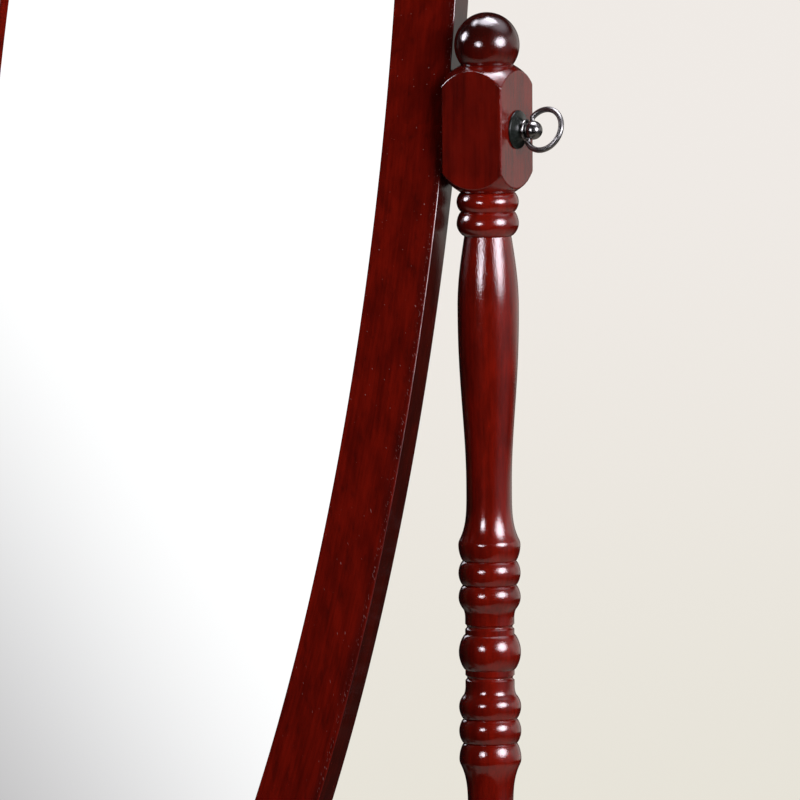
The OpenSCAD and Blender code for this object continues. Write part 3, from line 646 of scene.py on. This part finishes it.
def beech_look(tap):
    fibre = tap.node("ShaderNodeTexCoord", out="Object").drawn_out(1, 0.08, 1)
    fleck = fibre.noise(900, 3, 0.6)
    return fleck.rise(0.35, 0.65).tint((0.45, 0.27, 0.13), (0.60, 0.40, 0.22)), 0.55 + fleck * 0.2, fleck


brass = finish("dull_brass", brass_look, Metallic=1.0, depth=0.00002)
beech = finish("beech_dowel", beech_look, depth=0.00005)
for node, material in (("stretcher_bolts", zinc), ("leg_bolts", zinc), ("steel_spacers", zinc),
                       ("stretcher_inserts", brass), ("leg_inserts", brass), ("pivot_inserts", brass),
                       ("stretcher_dowels", beech), ("leg_dowels", beech)):
    paint_model(node, material)


# ---------- The washers at the pivots ----------
# A rubber washer between the frame and each post grips the mirror at any tilt, and a steel spacer
# backs it against the block.

def rubber_look(tap):
    place = tap.node("ShaderNodeTexCoord", out="Object")
    dust = place.noise(500, 4, 0.6)
    return dust.rise(0.4, 0.8).tint((0.012, 0.012, 0.012), (0.035, 0.034, 0.032)), 0.62 + dust * 0.2, dust


rubber = finish("black_rubber", rubber_look, depth=0.00006)
washer = turned([(4.06, 0), (8.6, 0), (9, 0.4), (9, 1.6), (8.6, 2), (4.06, 2)], 72, closed=True)
washers = [copy(washer, at(s * HALF_W * 1000, 0, UPPER_Z) @ Matrix.Rotation(s * math.pi / 2, 4, "Y"))
           for s in (1, -1)]
bpy.data.objects.remove(washer)
washers = done(join(washers), "rubber_washer_pair", rubber, smooth=35)
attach(washers, "mirror")
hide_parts("rubber_washers")


# ---------- The clamp knobs ----------
# A blackened trumpet rosette sits on each block, and a polished gunmetal bolt runs through it into the
# frame. Its head is a rolled collar and a ball, which a sprung wire ring pierces.

def blackened(tap):
    place = tap.node("ShaderNodeTexCoord", out="Object")
    patina = place.noise(420, 4, 0.65)
    colour = patina.rise(0.3, 0.75).tint((0.005, 0.007, 0.006), (0.013, 0.016, 0.014))
    return colour, 0.20 + patina * 0.08, None


def gunmetal(tap):
    place = tap.node("ShaderNodeTexCoord", out="Object")
    cloud = place.noise(300, 3, 0.5)
    colour = cloud.rise(0.3, 0.7).tint((0.130, 0.128, 0.124), (0.170, 0.167, 0.162))
    return colour, 0.19 + cloud * 0.08, None


def drawn_wire(tap):
    colour, roughness, _ = gunmetal(tap)
    return colour, roughness + 0.10, None


black = finish("blackened_metal", blackened, **{"Specular IOR Level": 0.15})
gun = finish("polished_gunmetal", gunmetal, Metallic=1.0)
gun_wire = finish("gunmetal_wire", drawn_wire, Metallic=1.0)
ROSETTE, ROSETTE_H, BALL, COLLAR, COLLAR_T = 12.6, 5.4, 6.2, 7.1, 2.2
BALL_OUT, HOLE_OUT = ROSETTE_H + BALL, ROSETTE_H + BALL - 2
HOLE_TURN, SWING = math.radians(22.6), math.radians(9.5)
trumpet = [(5.6 + (ROSETTE - 0.5 - 5.6) * (1 - i / 24) ** 2.2, 1.2 + 4.2 * (0.08 + 0.92 * i / 24))
           for i in range(25)]
rosette = turned([(4.06, 0), (ROSETTE - 0.4, 0), (ROSETTE, 0.4), (ROSETTE, 0.9), (ROSETTE - 0.15, 1.25)]
                 + trumpet + [(5.4, ROSETTE_H), (4.06, ROSETTE_H)], 96, closed=True)
roll_r = COLLAR_T / 2
collar = [(COLLAR - roll_r + roll_r * math.cos(math.radians(a)),
           ROSETTE_H + roll_r + roll_r * math.sin(math.radians(a))) for a in range(-90, 91, 9)]
low = math.degrees(math.asin((BALL_OUT - ROSETTE_H - COLLAR_T) / BALL))
bolt = turned([(0, -62), (3.4, -62), (4, -61.4), (4, ROSETTE_H)] + collar
              + ball(BALL, -low, 90, BALL_OUT, 48), 96)
PIN, PIN_IN, RING, WIRE = 1.5, 3.2, 13.9, 1.85
cross = fresh(bpy.ops.mesh.primitive_cylinder_add, vertices=48, radius=(PIN + 0.06) / 1000, depth=0.02,
              location=(0, 0, HOLE_OUT / 1000), rotation=(0, math.pi / 2, 0))
bpy.ops.object.mode_set(mode="OBJECT")
cut_with(bolt, cross)

reach = 10.7
half_gap = math.acos(reach / RING)
end_z = RING * math.sin(half_gap)
wire = fresh(bpy.ops.mesh.primitive_circle_add, vertices=28, radius=WIRE / 1000, fill_type="NOTHING",
             location=(RING / 1000, 0, 0), rotation=(math.pi / 2, 0, 0))
bpy.ops.mesh.spin(steps=110, angle=2 * (math.pi - half_gap), center=(0, 0, 0), axis=(0, 0, 1))
bpy.ops.mesh.select_all(action="SELECT")
bpy.ops.mesh.fill_holes(sides=0)
bpy.ops.object.mode_set(mode="OBJECT")
# the loop is spun flat from its own gap; it is then stood upright with the gap at the ball
spun_to = 1 if max(v.co.y for v in wire.data.vertices if v.co.x > 0.012) > 0.006 else -1
wire.data.transform(at(reach, 0, 0) @ Matrix.Rotation(math.pi / 2, 4, "X")
                    @ Matrix.Rotation(math.pi + spun_to * half_gap, 4, "Z"))
ring_parts = [wire]
for end in (1, -1):
    tip = turned(ball(WIRE, -90, 90, 0, 14), 28)
    tip.data.transform(at(0, 0, end * end_z))
    pin = turned([(0, PIN_IN), (PIN - 0.3, PIN_IN), (PIN, PIN_IN + 0.3), (PIN, end_z), (0, end_z)], 28)
    pin.data.transform(Matrix.Diagonal((1, 1, end, 1)))
    ring_parts += [tip, pin]
ring = join(ring_parts)

for side, s in (("right", 1), ("left", -1)):
    face = Matrix.Diagonal((s, 1, 1, 1)) @ at(OUTER_X, 0, UPPER_Z)
    out = face @ Matrix.Rotation(math.pi / 2, 4, "Y")
    hung = (face @ at(HOLE_OUT, 0, 0) @ Matrix.Rotation(-HOLE_TURN, 4, "X")
            @ Matrix.Rotation(-SWING, 4, "Z"))
    # the bolt's hole was drilled along X; on the block it stands upright, leaned by the hole's turn
    bolt_place = face @ Matrix.Rotation(-HOLE_TURN, 4, "X") @ Matrix.Rotation(math.pi / 2, 4, "Y")
    for piece, name, node, body, material, place, slot in (
            (rosette, "_rosette_turned", "_rosette", "_rosette_seat", black, out, "dark_bronze"),
            (bolt, "_clamp_bolt_turned", "_clamp_bolt", "_clamp", gun, bolt_place, "pewter"),
            (ring, "_ring_bent", "_ring", "_pull", gun_wire, hung, "pewter")):
        fitted = done(copy(piece, place), side + name, material, smooth=35)
        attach(fitted, side + body)
        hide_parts(side + node)
for piece in (rosette, bolt, ring):
    bpy.data.objects.remove(piece)


# ---------- The castors ----------
# A brass socket is let into each toe. The blackened fork swivels in it on its stem, and a black wheel
# with a rounded tread runs between its cheeks on a riveted axle.

def wheel_look(tap):
    place = tap.node("ShaderNodeTexCoord", out="Object")
    scuff = place.noise(350, 4, 0.65)
    colour = scuff.rise(0.4, 0.8).tint((0.016, 0.016, 0.016), (0.060, 0.057, 0.052))
    return colour, 0.36 + scuff * 0.25, scuff


def tread(wheel_side):
    """The rounded edge of the tread on one side of the wheel, from the cheek outwards."""
    return [(13 + 3 * math.sin(math.radians(a)), wheel_side * (4 + 3 * math.cos(math.radians(a))))
            for a in range(0, 91, 10)]


nylon = finish("castor_nylon", wheel_look, depth=0.00005)
wheel = turned([(2.06, -5), (5, -5), (5.4, -4.6), (6, -5), (11.4, -5), (12, -7), (13, -7)] + tread(-1)
               + [(16, -0.7), (15.6, -0.35), (15.6, 0.35), (16, 0.7)] + tread(1)[::-1]
               + [(12, 7), (11.4, 5), (6, 5), (5.4, 4.6), (5, 5), (2.06, 5)], 72, closed=True)
rivet = turned([(0, -10.6), (1.6, -10.6), (2.6, -10.4), (3.2, -9.6), (2, -9.6),
                (2, 9.6), (3.2, 9.6), (2.6, 10.4), (1.6, 10.6), (0, 10.6)], 40)
paint_model("castor_sockets", brass)
CASTOR_Y, TRAIL, WHEEL, CROWN_Z, HUB_CLEAR = 204, 12, 16, 0.0452, 0.0035
for corner, x, y in CORNERS:
    axle_y = y * CASTOR_Y + TRAIL
    hub = at(x * POST_X, axle_y, WHEEL) @ Matrix.Rotation(math.pi / 2, 4, "Y")
    fork = from_model(corner + "_fork")
    pick(fork, "edges", lambda e: len(e.link_faces) == 2 and e.calc_face_angle(0) > 0.9
         and all(v.co.z < CROWN_Z for v in e.verts)
         and min(math.hypot(v.co.y - axle_y / 1000, v.co.z - WHEEL / 1000) for v in e.verts) > HUB_CLEAR)
    bpy.ops.mesh.bevel(offset=0.0004, segments=2, affect="EDGES", clamp_overlap=True)
    for made, name, body, material, slot in (
            (fork, "fork", "_swivel", black, "dark_bronze"),
            (copy(rivet, hub), "axle", "_swivel", zinc, "zinc_steel"),
            (copy(wheel, hub), "wheel", "_roller", nylon, "castor_wheel")):
        made = done(made, corner + "_" + name + "_fitted", material, smooth=32)
        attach(made, corner + body)
        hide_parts(corner + "_" + name)
for piece in (wheel, rivet):
    bpy.data.objects.remove(piece)


# ---------- The studio ----------
# A pale floor that fades into a cream backdrop, a soft key lamp from the right and weaker ones above and
# behind. Small bright panels are seen only in the shine of the lacquer and metal, as in the picture.

def floor_paint():
    made = bpy.data.materials.new("studio_floor")
    tap = blank(made)
    place = tap.node("ShaderNodeTexCoord", out="Object")
    fade = tap.node("ShaderNodeVectorMath", {0: place}, out="Value", operation="LENGTH").rise(1.0, 2.4)
    pale = place.noise(4, 2, 0.5).tint((0.80, 0.775, 0.70), (0.82, 0.795, 0.72))
    paint = tap.node("ShaderNodeBsdfPrincipled", {"Base Color": pale, "Roughness": 0.9})
    clear = tap.node("ShaderNodeBsdfTransparent")
    both = tap.node("ShaderNodeMixShader", {0: fade, 1: paint, 2: clear})
    tap.node("ShaderNodeOutputMaterial", {"Surface": both})
    return made


floor = fresh(bpy.ops.mesh.primitive_circle_add, vertices=96, radius=2.6, fill_type="NGON",
              location=(0, 0, 0))
bpy.ops.object.mode_set(mode="OBJECT")
floor.name = "studio_floor"
floor.data.materials.append(floor_paint())
floor.visible_glossy = floor.visible_diffuse = False
floor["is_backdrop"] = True

world = bpy.data.worlds.new("studio")
bpy.context.scene.world = world
sky = blank(world)
direction = sky.node("ShaderNodeTexCoord", out="Generated")
rightwards = sky.node("ShaderNodeSeparateXYZ", {0: direction}, out=0)
backwards = sky.node("ShaderNodeSeparateXYZ", {0: direction}, out=1)
upwards = sky.node("ShaderNodeSeparateXYZ", {0: direction}, out=2)
backdrop = upwards.rise(-0.145, -0.070).tint((0.790, 0.762, 0.676), (0.866, 0.825, 0.787))
# in the shine, only a band of the backdrop behind the mirror is lit, and the floor near it
lit = ((backwards + upwards * 0.9).rise(0.35, 0.80) * rightwards.rise(-0.30, 0.10)
       * upwards.rise(-0.160, -0.105) * upwards.rise(0.42, 0.25))
near_floor = upwards.rise(-0.30, -0.75) * 0.80
shine = lit.tint((0.012, 0.011, 0.011), backdrop)
shine = near_floor.tint(shine, (0.62, 0.56, 0.50))
seen = sky.node("ShaderNodeLightPath", out="Is Camera Ray")
in_shine = sky.node("ShaderNodeLightPath", out="Is Glossy Ray")
through = sky.node("ShaderNodeLightPath", out="Is Transmission Ray")
colour = (seen + through).tint(in_shine.tint((0.78, 0.77, 0.76), shine), backdrop)
strength = (seen + through + in_shine).tint((0.08, 0.08, 0.08), (1.0, 1.0, 1.0))
both = sky.node("ShaderNodeBackground", {"Color": colour, "Strength": strength})
sky.node("ShaderNodeOutputWorld", {"Surface": both})


def placed(made, azimuth, elevation, distance, target):
    """Turns a lamp's or a card's face to a target. Azimuth 0 is before the glass and 90 to its right."""
    a, e = math.radians(azimuth), math.radians(elevation)
    way = Vector((math.sin(a) * math.cos(e), -math.cos(a) * math.cos(e), math.sin(e)))
    made.location = Vector(target) + way * distance
    made.rotation_euler = (-way).to_track_quat("-Z", "Y").to_euler()


def soft_lamp(name, azimuth, elevation, distance, size, brightness, target):
    lamp = bpy.data.lights.new(name, "AREA")
    lamp.shape, lamp.size = "SQUARE", size
    lamp.energy = brightness * math.pi * size ** 2
    made = bpy.data.objects.new(name, lamp)
    bpy.context.scene.collection.objects.link(made)
    placed(made, azimuth, elevation, distance, target)
    made.visible_camera = made.visible_glossy = False


soft_lamp("key_lamp", 61, 14, 2.4, 1.3, 10.1, (0.1, 0, 0.75))
soft_lamp("overhead_lamp", 0, 88, 2.2, 1.8, 1.1, (0.0, 0, 0.9))
soft_lamp("back_lamp", 205, 30, 2.6, 1.4, 4.0, (0.0, 0, 0.75))


def glow(name, azimuth, elevation, distance, width, height, brightness, softness):
    """A card with a soft rim that shows only in the shine of the lacquer and the metal."""
    made = fresh(bpy.ops.mesh.primitive_plane_add, size=1, location=(0, 0, 0), stretch=(width, height, 1))
    bpy.ops.object.mode_set(mode="OBJECT")
    made.name = name
    paint = bpy.data.materials.new(name)
    tap = blank(paint)
    place = tap.node("ShaderNodeTexCoord", out="Object").drawn_out(2 / width, 2 / height, 0)
    spread = tap.node("ShaderNodeVectorMath", {0: place}, out="Value", operation="LENGTH")
    light = spread.rise(1.0, 1.0 - softness) * brightness
    emit = tap.node("ShaderNodeEmission", {"Color": (0.93, 0.90, 1.0, 1), "Strength": light})
    # it lets what is behind it through, so that the glass never shows it as a dark patch
    both = tap.node("ShaderNodeAddShader", {0: emit, 1: tap.node("ShaderNodeBsdfTransparent")})
    tap.node("ShaderNodeOutputMaterial", {"Surface": both})
    made.data.materials.append(paint)
    placed(made, azimuth, elevation, distance, (POST_X / 1000, 0, 0.85))
    made.visible_camera = made.visible_diffuse = made.visible_transmission = made.visible_shadow = False
    made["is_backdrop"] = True
    return made


glints = [
    glow("right_glint", 78, 13, 2.0, 1.90, 1.45, 28.0, 0.70),
    glow("front_glint", -2, 7, 2.0, 0.80, 0.62, 30.0, 0.45),
    glow("left_glint", -68, 22, 2.0, 0.85, 0.90, 28.0, 0.45),
    glow("far_left_glint", -118, 25, 2.0, 0.60, 1.80, 4.5, 0.30),
    glow("roof_glint_near", 200, 85, 1.8, 1.70, 1.50, 16.0, 0.6),
    glow("roof_glint_far", 178, 72, 1.8, 1.70, 0.60, 16.0, 0.6),
    glow("roof_glint_left", -88, 61, 1.8, 0.90, 0.55, 16.0, 0.5),
    glow("right_veil", 95, 18, 2.2, 6.00, 5.00, 0.5, 0.9),
    glow("roof_veil", 128, 64, 1.8, 2.60, 2.60, 3.0, 0.8),
]

# a white card that only the glass sees, greying towards its lower corner as in the picture
card = fresh(bpy.ops.mesh.primitive_plane_add, size=1, location=(0, -3.4, 1.6),
             rotation=(math.pi / 2, 0, 0), stretch=(16, 9, 1))
bpy.ops.object.mode_set(mode="OBJECT")
card.name = "white_card"
paper = bpy.data.materials.new("white_card")
tap = blank(paper)
place = tap.node("ShaderNodeTexCoord", out="Object")
side = tap.node("ShaderNodeSeparateXYZ", {0: place}, out=0)
up = tap.node("ShaderNodeSeparateXYZ", {0: place}, out=2)
fade = (side + up).rise(-1.0, -0.2)
shade = fade.tint((0.46, 0.45, 0.455), (1.12, 1.12, 1.12))
emit = tap.node("ShaderNodeEmission", {"Color": shade, "Strength": 1.0})
tap.node("ShaderNodeOutputMaterial", {"Surface": emit})
card.data.materials.append(paper)
card.visible_camera = card.visible_diffuse = card.visible_transmission = card.visible_shadow = False
card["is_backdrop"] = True

# the glass sees only the card, the oval only the panels on its right, and the rest every panel
only_glass = bpy.data.collections.new("only_glass")
only_glass.objects.link(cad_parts["mirror_glass"])
card.light_linking.receiver_collection = only_glass
all_but_glass = bpy.data.collections.new("all_but_glass")
stand_and_knobs = bpy.data.collections.new("stand_and_knobs")
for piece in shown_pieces():
    if piece.name != "mirror_glass":
        all_but_glass.objects.link(piece)
        if piece != oval:
            stand_and_knobs.objects.link(piece)
for glint in glints:
    on_oval = glint.name.startswith("right")
    glint.light_linking.receiver_collection = all_but_glass if on_oval else stand_and_knobs


# ---------- The camera ----------
# A long lens from the right of the mirror, a little above its knobs, on the picture's own crop.

AZIMUTH, ELEVATION, DISTANCE, ROLL = math.radians(28.7), math.radians(5.5), 8.0, math.radians(-0.33)
toward = Vector((math.sin(AZIMUTH) * math.cos(ELEVATION), -math.cos(AZIMUTH) * math.cos(ELEVATION),
                 math.sin(ELEVATION)))
look = (-toward).to_track_quat("-Z", "Y")
sideways, upright = look @ Vector((1, 0, 0)), look @ Vector((0, 1, 0))
aim = Vector((POST_X / 1000, 0, PIVOT_Z)) - 0.0575 * sideways - 0.1754 * upright
lens = bpy.data.cameras.new("picture_camera")
SEEN_WIDTH = 0.518
lens.type, lens.sensor_width, lens.lens = "PERSP", 36, 36 * DISTANCE / SEEN_WIDTH
lens.clip_start, lens.clip_end = 0.1, 400
camera = bpy.data.objects.new("picture_camera", lens)
bpy.context.scene.collection.objects.link(camera)
camera.location = aim + toward * DISTANCE
camera.rotation_euler = (look @ Matrix.Rotation(ROLL, 3, "Z").to_quaternion()).to_euler()
bpy.context.scene.camera = camera
bpy.context.scene.view_settings.view_transform = "Standard"
